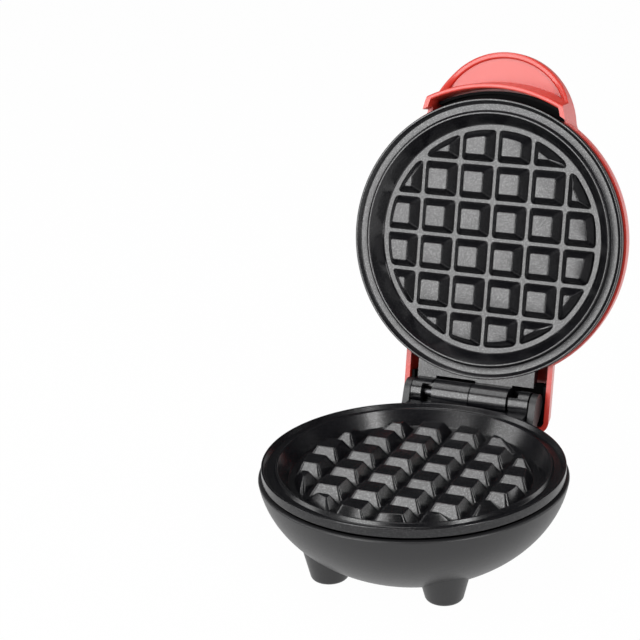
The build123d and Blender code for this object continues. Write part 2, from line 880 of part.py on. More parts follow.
def lead(start, end):
    """An insulated wire leaving straight down and arriving straight down."""
    with BuildPart() as wire:
        with BuildLine() as run:
            Spline(start, end, tangents=[(0, 0, -1), (0, 0, -1)])
        with BuildSketch(Plane(origin=start, z_dir=(0, 0, -1))):
            Circle(lead_radius)
        sweep(path=run.line)
    return wire


with BuildPart() as element_leads:
    for (x, y), step in zip(element_ends, (terminal_steps[-1], terminal_steps[0])):
        one_lead = lead(
            (x, y, pad_face - terminal_length - terminal_pin_length),
            (step, terminal_block_y + terminal_screw_offset, terminal_top),
        )
        add(one_lead.part)
save_base(element_leads, "element_leads")


# Lid cover: dome, scooped handle with its skirt, rear tail

def dome_arc(inset, sweep):
    return EllipticalCenterArc(
        (dome_centre_radius, dome_spring),
        dome_radius - dome_centre_radius - inset,
        dome_rise - inset,
        start_angle=0,
        arc_size=sweep,
    )


def dome_solid():
    crease = degrees(acos((cap_radius - dome_centre_radius) / (dome_radius - dome_centre_radius)))
    with BuildPart() as dome:
        with BuildSketch(Plane.XZ):
            with BuildLine():
                side = dome_arc(0, crease)
                Polyline(
                    side @ 1,
                    (cap_radius, cap_seat),
                    (0, cap_seat),
                    (0, lid_rim_lift),
                    (lid_rim_radius, lid_rim_lift),
                    (lid_rim_radius, lid_band_top),
                    (dome_radius, lid_band_top),
                    side @ 0,
                )
            make_face()
        revolve(axis=Axis.Z)
    return dome


def dome_cavity():
    sweep = degrees(asin((deck_face - dome_spring) / (dome_rise - cover_wall)))
    with BuildPart() as cavity:
        with BuildSketch(Plane.XZ):
            with BuildLine():
                side = dome_arc(cover_wall, sweep)
                Polyline(
                    side @ 1,
                    (0, deck_face),
                    (0, lid_rim_lift - overrun),
                    (dome_radius - cover_wall, lid_rim_lift - overrun),
                    side @ 0,
                )
            make_face()
        revolve(axis=Axis.Z)
    return cavity


def scoop_solid(shift, radius):
    """The space over the scoop's curved back and floor, within an upright cylinder."""
    run = scoop_foot_radius - scoop_head_radius
    rise = dome_height - handle_floor
    points = [
        (scoop_foot_radius - run * a - shift, handle_floor + rise * b - shift)
        for a, b in zip(scoop_run_shares, scoop_rise_shares)
    ]
    far = handle_centre + handle_radius + overrun
    high = dome_height + overrun
    with BuildPart() as scoop:
        with BuildSketch(Plane.XZ):
            with BuildLine():
                Spline(*points)
                Polyline(
                    points[-1],
                    (points[-1][0], high),
                    (far, high),
                    (far, handle_floor - shift),
                    points[0],
                )
            make_face()
        revolve(axis=Axis.Z)
        with Locations((0, scoop_lead - handle_centre, (handle_floor - shift + high) / 2)):
            Cone(radius, radius + scoop_flare, high + shift - handle_floor, mode=Mode.INTERSECT)
    return scoop


def tail_section(height, inset):
    share = (height - lid_rim_lift) / (tail_height - lid_rim_lift)
    width = tail_foot_width + (tail_head_width - tail_foot_width) * share - 2 * inset
    back = tail_back - tail_back_draft * share - inset
    with BuildSketch(level(height)) as section:
        with Locations((0, (back + tail_front) / 2)):
            RectangleRounded(width, back - tail_front, tail_round - inset)
    return section


def tail_solid(low, high, inset, top_round):
    with BuildPart() as tail:
        add(tail_section(low, inset).sketch)
        add(tail_section(high, inset).sketch)
        loft()
        fillet(tail.edges().group_by(Axis.Z)[-1], top_round)
    return tail


def finger_recess():
    """The space under the ledge, in front of the skirt, inside the handle's rounded lip."""
    with BuildPart() as recess:
        with BuildSketch(Plane.XZ.offset(handle_centre)):
            with BuildLine():
                Polyline(
                    (-recess_width / 2, -skirt_drop - overrun),
                    (-recess_width / 2, handle_lip_face),
                    (recess_width / 2, handle_lip_face),
                    (recess_width / 2, -skirt_drop - overrun),
                    close=True,
                )
            make_face()
        extrude(amount=handle_radius + overrun)
        fillet(recess.edges().filter_by(Axis.Y).group_by(Axis.Z)[-1], recess_corner)
        with BuildSketch(level(handle_lip_face - handle_lip_drop)):
            with Locations((0, -handle_centre)):
                Circle(handle_radius - handle_lip_width)
        extrude(amount=handle_underside - handle_lip_face + handle_lip_drop)
        with BuildSketch(Plane.XZ):
            with BuildLine():
                Polyline(
                    (0, -skirt_drop - 2 * overrun),
                    (skirt_foot_radius, -skirt_drop - 2 * overrun),
                    (skirt_foot_radius, -skirt_drop),
                    (skirt_head_radius, handle_underside),
                    (skirt_head_radius, handle_floor),
                    (0, handle_floor),
                    close=True,
                )
            make_face()
        revolve(axis=Axis.Z, mode=Mode.SUBTRACT)
    return recess


def handle_solid():
    """The handle's outer form, with the finger recess cut away in front of the skirt."""
    with BuildPart() as handle:
        with BuildSketch(level(lid_rim_lift)):
            Circle(crest_dome_radius)
            with Locations((0, -handle_centre)):
                Circle(handle_radius)
        extrude(amount=handle_crest - lid_rim_lift)
        fillet(handle.edges().filter_by(Axis.Z).group_by(Axis.Y)[0], handle_blend)
        fillet(handle.edges().group_by(Axis.Z)[-1], handle_rim_round)
        with BuildSketch(level(-skirt_drop)):
            with Locations((0, -handle_centre)):
                Circle(handle_radius)
        extrude(amount=handle_underside + skirt_drop)
        add(finger_recess().part, mode=Mode.SUBTRACT)
        lip = [
            e for e in handle.edges()
            if abs(e.bounding_box().max.Z - handle_lip_face) < joint_sink and e.geom_type != GeomType.LINE
        ]
        fillet(lip, handle_lip_round)
        with BuildSketch(level(-skirt_drop)):
            Circle(skirt_clear_radius)
        extrude(amount=skirt_drop + lid_rim_lift, mode=Mode.SUBTRACT)
    return handle


def lid_cover_piece():
    wall = handle_floor - handle_underside
    spare = scoop_solid(wall, scoop_radius + wall)
    scoop = scoop_solid(0, scoop_radius)
    with BuildPart() as inside:
        add(dome_cavity().part)
        with BuildSketch(level(-skirt_drop - overrun)):
            with Locations((0, -handle_centre)):
                Circle(handle_radius - skirt_wall)
        extrude(amount=skirt_drop + overrun + handle_underside)
        with BuildSketch(level(-skirt_drop - overrun)):
            Circle(skirt_foot_radius - skirt_wall)
        extrude(amount=dome_height + skirt_drop + overrun, mode=Mode.INTERSECT)
        add(spare.part, mode=Mode.SUBTRACT)
        add(tail_solid(lid_rim_lift, tail_height - tail_wall, tail_wall, tail_top_round - joint_sink).part)
    with BuildPart() as cover:
        add(dome_solid().part)
        add(handle_solid().part)
        add(tail_solid(lid_rim_lift, tail_height, 0, tail_top_round).part)
        add(scoop.part, mode=Mode.SUBTRACT)
        add(inside.part, mode=Mode.SUBTRACT)
        fillet(cover.edges().group_by(Axis.Z)[0].sort_by(SortBy.LENGTH)[-2:], skirt_edge_round)
        with BuildSketch(level(reflector_thickness - reflector_face)):
            with Locations(*screw_places):
                Circle(cover_boss_radius)
        extrude(amount=deck_face + reflector_face - reflector_thickness)
        with BuildSketch(level(cap_seat)):
            with Locations(*screw_places):
                Circle(lid_counterbore_radius)
        extrude(amount=-lid_counterbore_depth, mode=Mode.SUBTRACT)
        with BuildSketch(level(cap_seat)):
            with Locations((0, lens_y)):
                Circle(lens_flange_radius + lens_hole_gap)
        extrude(amount=-lens_flange_thickness, mode=Mode.SUBTRACT)
        with BuildSketch(level(reflector_thickness - reflector_face)):
            with Locations(*screw_places):
                Circle(screw_radius)
            with Locations((0, lens_y)):
                Circle(lens_radius - lens_hole_gap)
        extrude(amount=cap_seat, mode=Mode.SUBTRACT)
    return cover


lid_cover = lid_cover_piece()
save_lid(lid_cover, "lid_cover")


# Pieces the cover carries

lid_seat = cap_seat - lid_counterbore_depth
lid_screws = flipped(screw_set(-lid_seat, lid_seat + boss_face + screw_grip))
save_lid(lid_screws, "lid_screws")

with BuildPart() as top_cap:
    with BuildSketch(level(cap_seat)):
        Circle(cap_radius - cap_fit)
    extrude(amount=cap_thickness)
    fillet(top_cap.edges().group_by(Axis.Z)[-1], cap_edge_round)
    with Locations(lens_axis.offset(cap_face + bezel_rise / 2)):
        Cone(bezel_radius, bezel_crest_radius, bezel_rise)
    fillet(top_cap.edges().group_by(Axis.Z)[-1], cap_edge_round)
    with BuildSketch(lens_axis.offset(cap_seat)):
        Circle(lens_hole_radius)
    extrude(amount=cap_thickness + bezel_rise + overrun, mode=Mode.SUBTRACT)
    fillet(top_cap.edges().filter_by(GeomType.CIRCLE).group_by(Axis.Z)[-1].sort_by(SortBy.RADIUS)[0], cap_edge_round)
save_lid(top_cap, "top_cap")

lens_edge = cap_face + lens_edge_rise
lens_foot = cap_seat - lens_flange_thickness


def lens_solid(inset, low):
    """A round plug with a spherical crown."""
    radius = lens_radius - inset
    rise = lens_rise - inset
    ball = (radius * radius + rise * rise) / 2 / rise
    with BuildPart() as piece:
        with Locations((0, 0, lens_edge + rise - ball)):
            Sphere(ball)
        with BuildSketch(level(low)):
            Circle(radius)
        extrude(amount=lens_edge + rise + overrun - low, mode=Mode.INTERSECT)
    return piece


with BuildPart() as indicator_lens:
    with Locations((0, lens_y, 0)):
        add(lens_solid(0, lens_foot).part)
    with BuildSketch(lens_axis.offset(lens_foot)):
        Circle(lens_flange_radius)
    extrude(amount=lens_flange_thickness)
    with Locations((0, lens_y, 0)):
        add(lens_solid(lens_wall, lens_foot - overrun).part, mode=Mode.SUBTRACT)
save_lid(indicator_lens, "indicator_lens")

with BuildPart() as lamp_holder:
    with BuildSketch(lens_axis.offset(deck_face)):
        Circle(holder_radius)
        with PolarLocations(holder_vent_circle, holder_vents):
            Circle(holder_vent_radius, mode=Mode.SUBTRACT)
    extrude(amount=-holder_thickness)
    with BuildSketch(lens_axis.offset(deck_face)):
        Circle(holder_hub_radius)
    extrude(amount=-holder_hub_length)
    with BuildSketch(lens_axis.offset(deck_face + overrun)):
        Circle(lamp_radius + lamp_fit)
    extrude(amount=-holder_hub_length - 2 * overrun, mode=Mode.SUBTRACT)
save_lid(lamp_holder, "lamp_holder")

lamp_foot = deck_face - holder_hub_length
with BuildPart() as indicator_lamp:
    with BuildSketch(lens_axis.offset(lamp_foot)):
        Circle(lamp_radius)
    extrude(amount=lamp_length - lamp_radius)
    with Locations(lens_axis.offset(lamp_foot + lamp_length - lamp_radius)):
        Sphere(lamp_radius)
    with BuildSketch(lens_axis.offset(lamp_foot)):
        with Locations((-lamp_pin_spread / 2, 0), (lamp_pin_spread / 2, 0)):
            Circle(lamp_pin_radius)
    extrude(amount=-lamp_pin_length)
save_lid(indicator_lamp, "indicator_lamp")

with BuildPart() as front_liner:
    with BuildSketch(level(handle_underside)):
        Circle(liner_radius)
        Circle(liner_radius - liner_flange, mode=Mode.SUBTRACT)
        with Locations((0, -liner_radius / 2 - overrun)):
            Rectangle(liner_width, liner_radius + 2 * overrun, mode=Mode.INTERSECT)
    extrude(amount=liner_foot - handle_underside)
    with BuildSketch(level(liner_foot)):
        Circle(liner_radius - liner_wall)
    extrude(amount=liner_height - liner_wall, mode=Mode.SUBTRACT)
save_lid(front_liner, "front_liner")

liner_skin = tail_solid(lid_rim_lift, tail_liner_top, tail_liner_inset, tail_top_round - joint_sink)
liner_room = tail_solid(
    lid_rim_lift, tail_liner_top - liner_wall, tail_liner_inset + liner_wall, tail_top_round - joint_sink,
)
with BuildPart() as tail_liner:
    add(liner_skin.part)
    add(liner_room.part, mode=Mode.SUBTRACT)
    with BuildSketch(level(barrel_radius)):
        with Locations((0, tail_liner_front + hinge_offset / 2)):
            Rectangle(tail_foot_width, hinge_offset)
    extrude(amount=tail_height, mode=Mode.INTERSECT)
save_lid(tail_liner, "tail_liner")
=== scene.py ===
import json
from math import atan, cos, hypot, pi, radians, sin, tan

import bmesh
import bpy
import numpy
from mathutils import Matrix, Vector


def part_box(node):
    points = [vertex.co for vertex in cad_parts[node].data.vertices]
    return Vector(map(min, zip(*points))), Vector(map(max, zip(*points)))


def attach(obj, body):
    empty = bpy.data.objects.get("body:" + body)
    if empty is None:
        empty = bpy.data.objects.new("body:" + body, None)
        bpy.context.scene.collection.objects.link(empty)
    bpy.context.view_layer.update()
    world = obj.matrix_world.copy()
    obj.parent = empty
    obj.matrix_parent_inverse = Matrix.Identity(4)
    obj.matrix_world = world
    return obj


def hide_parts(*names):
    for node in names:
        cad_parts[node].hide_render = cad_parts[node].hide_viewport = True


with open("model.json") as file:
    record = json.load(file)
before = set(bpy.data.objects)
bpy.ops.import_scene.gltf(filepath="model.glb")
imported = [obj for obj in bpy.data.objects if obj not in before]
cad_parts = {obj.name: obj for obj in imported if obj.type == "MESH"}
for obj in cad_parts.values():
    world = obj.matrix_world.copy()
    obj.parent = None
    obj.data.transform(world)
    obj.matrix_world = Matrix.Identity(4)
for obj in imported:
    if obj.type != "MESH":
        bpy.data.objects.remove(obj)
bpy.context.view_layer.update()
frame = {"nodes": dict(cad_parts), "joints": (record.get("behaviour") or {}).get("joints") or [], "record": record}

# Metres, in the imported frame: +Z up, the handle and the opening towards -Y, hinge at +Y.
# The lid's pieces stand open, as in the photograph.

MM = 0.001
PHOTO_SIZE = 640

# Where the object stands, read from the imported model
HINGE = Vector(frame["joints"][0]["pos_m"])
OPEN_ANGLE = radians(frame["joints"][0]["range_deg"][1])
PLATE_LOW, PLATE_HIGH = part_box("lower_plate")
PLATE_RADIUS = (PLATE_HIGH.x - PLATE_LOW.x) / 2
PLATE_CENTRE = Vector((0, PLATE_LOW.y + PLATE_RADIUS, HINGE.z))

# Camera, solved from the grid, the rims and the hinge in the photograph
VIEW_AZIMUTH = radians(20.86)
VIEW_ELEVATION = radians(19.232)
VIEW_ROLL = radians(-0.228)
VIEW_DISTANCE = 0.6259
VIEW_RIGHT = 0.01038
VIEW_UP = 0.05537
FOCAL_PIXELS = 1567.6
AXIS_PIXEL_X = 440
SENSOR_WIDTH = 36.0


# Helpers for the shader graphs

def new_material(name):
    """A node material with its Principled shader and object coordinates at hand."""
    material = bpy.data.materials.new(name)
    material.use_nodes = True
    tree = material.node_tree
    shader = tree.nodes["Principled BSDF"]
    coords = tree.nodes.new("ShaderNodeTexCoord").outputs["Object"]
    return material, tree, shader, coords


def add_node(tree, kind, inputs=(), **settings):
    """A node with its settings and its inputs, each a value or a socket to link."""
    node = tree.nodes.new(kind)
    for name, value in settings.items():
        setattr(node, name, value)
    for name, value in dict(inputs).items():
        if isinstance(value, bpy.types.NodeSocket):
            tree.links.new(value, node.inputs[name])
        else:
            node.inputs[name].default_value = value
    return node


def noise(tree, coords, size, detail=2.0, rough=0.5):
    """Noise between 0 and 1 whose blotches are about size metres across."""
    inputs = {"Vector": coords, "Scale": 1 / size, "Detail": detail, "Roughness": rough}
    return add_node(tree, "ShaderNodeTexNoise", inputs).outputs["Fac"]


def spread(tree, value, low, high, start, end):
    """The value from low to high, taken to the range from start to end."""
    inputs = {"Value": value, "From Min": low, "From Max": high, "To Min": start, "To Max": end}
    return add_node(tree, "ShaderNodeMapRange", inputs).outputs["Result"]


def blend_colours(tree, factor, first, second):
    node = add_node(tree, "ShaderNodeMix", data_type="RGBA")
    tree.links.new(factor, node.inputs["Factor"])
    colour_inputs = [s for s in node.inputs if s.type == "RGBA"]
    for socket, colour in zip(colour_inputs, (first, second)):
        socket.default_value = (*colour, 1)
    return [s for s in node.outputs if s.type == "RGBA"][0]


def bump(tree, height, distance, normal=None, strength=1.0):
    inputs = {"Height": height, "Distance": distance, "Strength": strength}
    if normal is not None:
        inputs["Normal"] = normal
    return add_node(tree, "ShaderNodeBump", inputs).outputs["Normal"]


# Materials

def coating_material():
    """Cast aluminium under a speckled grey non-stick coating."""
    material, tree, shader, coords = new_material("coating_speckled")
    fleck_cells = add_node(tree, "ShaderNodeTexVoronoi", {"Vector": coords, "Scale": 1 / (0.55 * MM)})
    fleck = spread(tree, fleck_cells.outputs["Distance"], 0.20, 0.40, 1.0, 0.0)
    grain = noise(tree, coords, 0.5 * MM, detail=4.0)
    cloud = noise(tree, coords, 14 * MM)
    fleck_share = add_node(tree, "ShaderNodeMath", {0: fleck, 1: grain}, operation="MULTIPLY").outputs[0]
    colour = blend_colours(tree, fleck_share, (0.003, 0.003, 0.004), (0.025, 0.025, 0.027))
    tree.links.new(colour, shader.inputs["Base Color"])
    tree.links.new(spread(tree, cloud, 0.3, 0.7, 0.20, 0.25), shader.inputs["Roughness"])
    tree.links.new(spread(tree, fleck_share, 0.0, 0.5, 0.52, 1.0), shader.inputs["Specular IOR Level"])
    peel = bump(tree, noise(tree, coords, 0.5 * MM, detail=3.0), 0.005 * MM)
    tree.links.new(bump(tree, cloud, 0.05 * MM, peel), shader.inputs["Normal"])
    return material


def moulded_material(name, colour, rough, grain_size, grain_depth, shade=0.88, coat=0.0, gloss=0.5):
    """A moulded plastic: faint tone changes, a fine grain and slow waves in the skin."""
    material, tree, shader, coords = new_material(name)
    tone = noise(tree, coords, 22 * MM)
    darker = tuple(channel * shade for channel in colour)
    tree.links.new(blend_colours(tree, tone, darker, colour), shader.inputs["Base Color"])
    grain = noise(tree, coords, grain_size, detail=3.0)
    tree.links.new(spread(tree, grain, 0.3, 0.7, rough * 0.92, rough * 1.1), shader.inputs["Roughness"])
    fine = bump(tree, grain, grain_depth)
    wave = bump(tree, noise(tree, coords, 16 * MM), 0.12 * MM, fine)
    tree.links.new(wave, shader.inputs["Normal"])
    shader.inputs["Specular IOR Level"].default_value = gloss
    shader.inputs["Coat Weight"].default_value = coat
    shader.inputs["Coat Roughness"].default_value = 0.25
    return material


def metal_material(name, colour, rough, streak, streak_axis, depth=0.01 * MM):
    """A worked metal: long fine streaks along one axis over a duller mottling."""
    material, tree, shader, coords = new_material(name)
    stretch = [1.0, 1.0, 1.0]
    stretch[streak_axis] = 0.06
    mapped = add_node(tree, "ShaderNodeMapping", {"Vector": coords, "Scale": stretch}).outputs["Vector"]
    lines = noise(tree, mapped, streak, detail=4.0)
    dull = noise(tree, coords, 6 * MM, detail=3.0)
    darker = tuple(channel * 0.78 for channel in colour)
    tree.links.new(blend_colours(tree, dull, darker, colour), shader.inputs["Base Color"])
    tree.links.new(spread(tree, lines, 0.25, 0.75, rough * 0.8, rough * 1.25), shader.inputs["Roughness"])
    tree.links.new(bump(tree, lines, depth), shader.inputs["Normal"])
    shader.inputs["Metallic"].default_value = 1.0
    return material


def lens_material():
    """Deep red glossy moulding with a dotted prism pattern showing faintly from its inner face."""
    material, tree, shader, coords = new_material("lens_prisms")
    cells = add_node(tree, "ShaderNodeTexVoronoi", {"Vector": coords, "Scale": 1 / (1.5 * MM), "Randomness": 0.15})
    dots = spread(tree, cells.outputs["Distance"], 0.0, 0.6, 1.0, 0.0)
    tree.links.new(blend_colours(tree, dots, (0.16, 0.003, 0.003), (0.46, 0.012, 0.008)), shader.inputs["Base Color"])
    tree.links.new(bump(tree, dots, 0.05 * MM), shader.inputs["Normal"])
    shader.inputs["Roughness"].default_value = 0.30
    shader.inputs["Transmission Weight"].default_value = 0.12
    shader.inputs["IOR"].default_value = 1.49
    shader.inputs["Coat Weight"].default_value = 1.0
    shader.inputs["Coat Roughness"].default_value = 0.04
    return material


def glass_material():
    """The small lamp: warm clear glass with faint drawing lines."""
    material, tree, shader, coords = new_material("lamp_clear")
    lines = noise(tree, coords, 1.2 * MM)
    tree.links.new(blend_colours(tree, lines, (0.85, 0.42, 0.22), (0.95, 0.62, 0.40)), shader.inputs["Base Color"])
    tree.links.new(bump(tree, lines, 0.02 * MM), shader.inputs["Normal"])
    shader.inputs["Roughness"].default_value = 0.05
    shader.inputs["Transmission Weight"].default_value = 0.8
    return material


RED = (0.55, 0.033, 0.020)
finishes = {
    "plate_coating": coating_material(),
    "shell_grey": moulded_material("shell_satin", (0.016, 0.016, 0.017), 0.40, 0.6 * MM, 0.012 * MM),
    # The liners' near-black, with little gloss and darker than the other black mouldings, is partly their own colour
    # and partly painted shade for the dark gaps under the lid's skirt and inside its tail.
    "liner_grey": moulded_material("liner_black_painted_shade", (0.004, 0.004, 0.0045), 0.55, 0.6 * MM, 0.012 * MM, gloss=0.08),
    "cover_red": moulded_material("cover_gloss", RED, 0.36, 0.9 * MM, 0.004 * MM, 0.94, 0.3, 0.6),
    "fitting_black": moulded_material("nylon_black", (0.012, 0.012, 0.012), 0.55, 0.5 * MM, 0.02 * MM),
    "pad_rubber": moulded_material("rubber_black", (0.014, 0.014, 0.014), 0.75, 0.4 * MM, 0.03 * MM),
    "thermostat_body": moulded_material("phenolic_brown", (0.05, 0.028, 0.018), 0.35, 0.5 * MM, 0.01 * MM),
    "fuse_body": moulded_material("fuse_sleeve", (0.62, 0.58, 0.50), 0.45, 0.5 * MM, 0.02 * MM),
    "terminal_white": moulded_material("terminal_ivory", (0.72, 0.69, 0.60), 0.40, 0.5 * MM, 0.01 * MM),
    "lead_insulation": moulded_material("lead_silicone", (0.66, 0.63, 0.57), 0.60, 0.4 * MM, 0.02 * MM),
    "holder_white": moulded_material("holder_ivory", (0.70, 0.67, 0.60), 0.48, 0.5 * MM, 0.015 * MM),
    "pin_steel": metal_material("pin_blackened", (0.10, 0.10, 0.105), 0.34, 0.25 * MM, 0),
    "screw_steel": metal_material("screw_zinc", (0.56, 0.57, 0.58), 0.32, 0.3 * MM, 2),
    "clip_steel": metal_material("clip_spring", (0.46, 0.46, 0.47), 0.36, 0.3 * MM, 1),
    "element_sheath": metal_material("sheath_dull", (0.42, 0.42, 0.42), 0.52, 0.5 * MM, 2, 0.02 * MM),
    "reflector_aluminium": metal_material("tray_rolled", (0.76, 0.76, 0.77), 0.30, 0.3 * MM, 0),
    "lens_red": lens_material(),
    "lamp_glass": glass_material(),
}


def dress(piece, finish):
    """Gives every face of the piece one material."""
    piece.data.materials.clear()
    piece.data.materials.append(finish)


slot_of = {row["node"]: row["material_slot"] for row in frame["record"]["subparts"]}
for node_name, node in frame["nodes"].items():
    dress(node, finishes[slot_of[node_name]])


# Cooking plates: the castings' backs and hinges, under a cooking side whose edges are rounded as cast
# and coated ones are. Millimetres in a plate's own frame, +Z out of the cooking side.

RING_TOP = -0.6
RING_FOOT = -4.1
RING_CREST = 0.85
RING_WIDTH = 2.1
GUTTER_WIDTH = 2.85
GUTTER_SLOPE = 0.8
GUTTER_FACE = -2.35
BEAD_FACE = -1.0
BEAD_WIDTH = 0.7
WALL_RUN = 4.2
FLOOR_FACE = -7.4
GRID_ROWS = 6
GRID_INSET = 1.0
GRID_MARGIN = 2.5
BLOCK_GAP = 1.7
BLOCK_LEAN = 2.95
BLOCK_HEIGHT = 4.85
CORNER_FOOT = 1.6
CORNER_TOP = 0.7
EDGE_ROUND = 0.5
FOOT_ROUND = 0.4
TURNS = 240
SIDES = 144
FOOT_STEPS = 4
EDGE_STEPS = 5
HALVINGS = 26
WELD_REACH = 0.0005
SOFT_EDGE = radians(30)

plate_radius = PLATE_RADIUS / MM
ring_inner = plate_radius - RING_WIDTH
gutter_inner = ring_inner - GUTTER_WIDTH
bead_outer = gutter_inner - GUTTER_SLOPE
cavity_radius = bead_outer - BEAD_WIDTH
floor_radius = cavity_radius - WALL_RUN
grid_pitch = 2 * (floor_radius - GRID_INSET) / GRID_ROWS


def rounded_path(corners, steps=4):
    """A run of (radius, height) points whose inner corners are turned to arcs of their own radius."""
    points = [Vector(corners[0][:2])]
    for before, corner, after in zip(corners, corners[1:], corners[2:]):
        tip = Vector(corner[:2])
        back = (Vector(before[:2]) - tip).normalized()
        ahead = (Vector(after[:2]) - tip).normalized()
        half = back.angle(ahead) / 2
        centre = tip + (back + ahead).normalized() * corner[2] / sin(half)
        first = tip + back * corner[2] / tan(half) - centre
        last = tip + ahead * corner[2] / tan(half) - centre
        sweep = first.angle(last)
        for step in range(steps + 1):
            turn = sweep * step / steps
            points.append(centre + (sin(sweep - turn) * first + sin(turn) * last) / sin(sweep))
    points.append(Vector(corners[-1][:2]))
    return points


def dish_path():
    """The casting's section from the foot of its ring to the cooking floor."""
    return rounded_path([
        (plate_radius, RING_FOOT, 0),
        (plate_radius, RING_TOP, 0.3),
        (plate_radius - RING_CREST, RING_TOP, 0.3),
        (ring_inner, GUTTER_FACE, 0.5),
        (gutter_inner, GUTTER_FACE, 0.4),
        (bead_outer, BEAD_FACE, 0.3),
        (cavity_radius, BEAD_FACE, 0.35),
        (floor_radius, FLOOR_FACE, 1.0),
        (1.0, FLOOR_FACE, 0),
    ])


def block_rings(x, y):
    """Outlines of one block from its foot to its top, cut back to the grid's circle."""
    lean = atan(BLOCK_LEAN / BLOCK_HEIGHT)
    foot = (grid_pitch - BLOCK_GAP) / 2
    circle = floor_radius - GRID_MARGIN
    inward = (1 - sin(lean)) / cos(lean)
    levels = []
    for step in range(FOOT_STEPS + 1):
        turn = -pi / 2 - step / FOOT_STEPS * (pi / 2 - lean)
        reach = FOOT_ROUND * (inward + cos(turn))
        levels.append((reach, FOOT_ROUND * (1 + sin(turn)), 0, CORNER_FOOT + reach))
    for step in range(EDGE_STEPS + 1):
        turn = lean + step / EDGE_STEPS * (pi / 2 - lean)
        reach = EDGE_ROUND * (cos(turn) - inward)
        levels.append((reach, BLOCK_HEIGHT - EDGE_ROUND * (1 - sin(turn)), BLOCK_LEAN, CORNER_TOP + reach))
    spots = numpy.linspace(-foot, foot, 15) * 0.5
    inside = [(x + u, y + v) for u in spots for v in spots if hypot(x + u, y + v) < circle - BLOCK_LEAN - 0.8]
    middle = [sum(c) / len(inside) for c in zip(*inside)]
    angles = numpy.linspace(0, 2 * pi, SIDES, endpoint=False)
    rings = []
    for reach, height, taken, corner in levels:
        near = numpy.zeros(SIDES)
        far = numpy.full(SIDES, 2 * foot)
        for _ in range(HALVINGS):
            span = (near + far) / 2
            px = middle[0] + span * numpy.cos(angles)
            py = middle[1] + span * numpy.sin(angles)
            half = foot - taken + reach - corner
            beyond = (
                numpy.abs(px - x) - half, numpy.abs(py - y) - half,
                numpy.hypot(px, py) - (circle - taken + reach - corner),
            )
            outside = sum(numpy.maximum(part, 0) ** 2 for part in beyond) > corner ** 2
            far = numpy.where(outside, span, far)
            near = numpy.where(outside, near, span)
        rings.append([(u, v, FLOOR_FACE + height) for u, v in zip(px, py)])
    return rings


def cooking_side():
    """Rings of points: the dish as one set, then each block of the grid but its four corners."""
    turns = [2 * pi * k / TURNS for k in range(TURNS)]
    sets = [[[(p.x * cos(t), p.x * sin(t), p.y) for t in turns] for p in dish_path()]]
    rows = [(k - (GRID_ROWS - 1) / 2) * grid_pitch for k in range(GRID_ROWS)]
    for x in rows:
        for y in rows:
            if hypot(x, y) < hypot(rows[0], rows[0]) - 1:
                sets.append(block_rings(x, y))
    return sets


def is_cooking_side(centre, normal):
    """Whether a face of the casting belongs to its ring, gutter, dish or grid."""
    radius = hypot(centre.x, centre.y)
    on_side = plate_radius - 0.05 < radius < plate_radius + 0.01 and abs(normal.z) < 0.5
    faces_out = radius < plate_radius and normal.z > 0.02 and centre.z > FLOOR_FACE - 1
    return (on_side and centre.z > RING_FOOT) or faces_out


def recast(node_name, piece_name, body, place, sets):
    """The casting with its cooking side made anew, standing for the node."""
    surface = bmesh.new()
    surface.from_mesh(frame["nodes"][node_name].data)
    surface.transform(place.inverted())
    bmesh.ops.remove_doubles(surface, verts=surface.verts, dist=WELD_REACH)
    surface.normal_update()
    old = [f for f in surface.faces if is_cooking_side(f.calc_center_median(), f.normal)]
    bmesh.ops.delete(surface, geom=old, context="FACES")
    loose = [f for f in surface.faces if all(len(edge.link_faces) == 1 for edge in f.edges)]
    bmesh.ops.delete(surface, geom=loose, context="FACES")
    for edge in surface.edges:
        edge.smooth = len(edge.link_faces) == 2 and edge.calc_face_angle() < SOFT_EDGE
    for rings in sets:
        loops = [[surface.verts.new(point) for point in ring] for ring in rings]
        for low, high in zip(loops, loops[1:]):
            for k in range(len(low)):
                surface.faces.new((low[k - 1], low[k], high[k], high[k - 1]))
        surface.faces.new(loops[-1])
    for face in surface.faces:
        face.smooth = True
    surface.transform(place)
    mesh = bpy.data.meshes.new(piece_name)
    surface.to_mesh(mesh)
    surface.free()
    piece = bpy.data.objects.new(piece_name, mesh)
    bpy.context.scene.collection.objects.link(piece)
    dress(piece, finishes[slot_of[node_name]])
    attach(piece, body)
    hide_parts(node_name)


cooking_sets = cooking_side()
stand_lower = Matrix.Translation(PLATE_CENTRE) @ Matrix.Scale(MM, 4)
swing = Matrix.Translation(HINGE) @ Matrix.Rotation(-OPEN_ANGLE, 4, "X") @ Matrix.Translation(-HINGE)
stand_upper = swing @ Matrix.Translation(PLATE_CENTRE) @ Matrix.Rotation(pi, 4, "Y") @ Matrix.Scale(MM, 4)
recast("lower_plate", "lower_casting", "base", stand_lower, cooking_sets)
recast("upper_plate", "upper_casting", "lid", stand_upper, cooking_sets)


# Floor, background, lamps and camera

BACKDROP_SHARE = 0.985
FLOOR_RADIUS = 6.0
FLOOR_SIDES = 96
ROOM_LIGHT = 0.28


def backdrop_rays(tree):
    """1 for the rays that see the white background: straight, in a gloss or through glass."""
    path = add_node(tree, "ShaderNodeLightPath")
    straight = {0: path.outputs["Is Camera Ray"], 1: path.outputs["Is Transmission Ray"]}
    first = add_node(tree, "ShaderNodeMath", straight, operation="MAXIMUM").outputs[0]
    return add_node(
        tree, "ShaderNodeMath", {0: first, 1: path.outputs["Is Glossy Ray"]}, operation="MAXIMUM"
    ).outputs[0]


